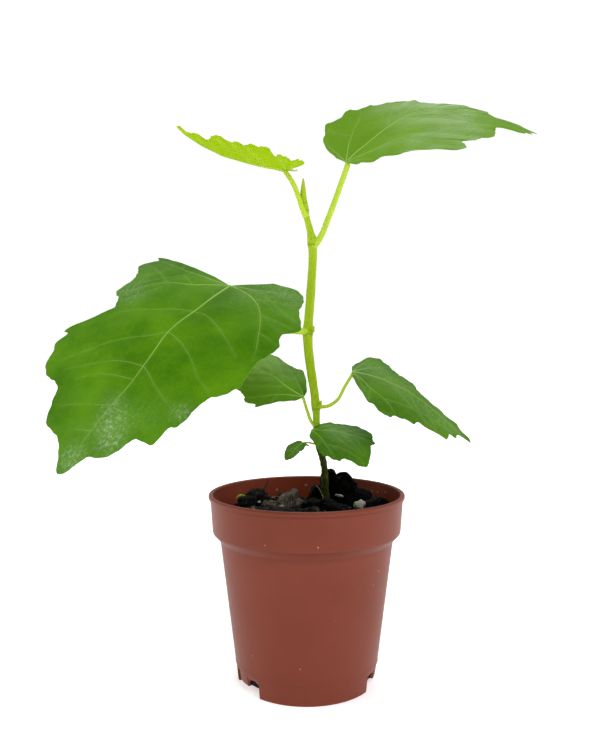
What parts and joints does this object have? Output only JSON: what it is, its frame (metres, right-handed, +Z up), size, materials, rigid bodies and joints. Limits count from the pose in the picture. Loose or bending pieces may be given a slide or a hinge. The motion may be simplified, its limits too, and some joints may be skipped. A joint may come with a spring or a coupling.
{
  "type": "young fig tree in a nursery pot",
  "caption": "Young fig plant with one slender upright stem and broad toothed leaves on arching stalks, growing in bark compost in a tapered round plastic nursery pot.",
  "frame": {"origin": "middle of the pot's flat underside, on the surface the pot stands on", "axes": "+Z up along the pot's axis; -Y towards the side seen in the picture, so the large leaf leans to -X and -Y; +X to that view's right"},
  "size_m": [0.2131, 0.1252, 0.2699],
  "materials": {
    "pot_plastic": "satin moulded plastic, terracotta brown",
    "compost": "rough dark bark and fibre",
    "stem_bark": "smooth green bark, olive brown at the foot",
    "leaf_green": "semi-gloss leaf with pale veins",
    "leaf_young": "soft bright young leaf"
  },
  "bodies": {
    "root": {"pot": "pot_plastic", "compost": "compost", "stem": "stem_bark", "leaf_large": "leaf_green", "leaf_top_right": "leaf_green", "leaf_top_left": "leaf_young", "leaf_mid_right": "leaf_green", "leaf_back_left": "leaf_green", "leaf_low_right": "leaf_green", "leaf_low_left": "leaf_green"}
  },
  "joints": []
}
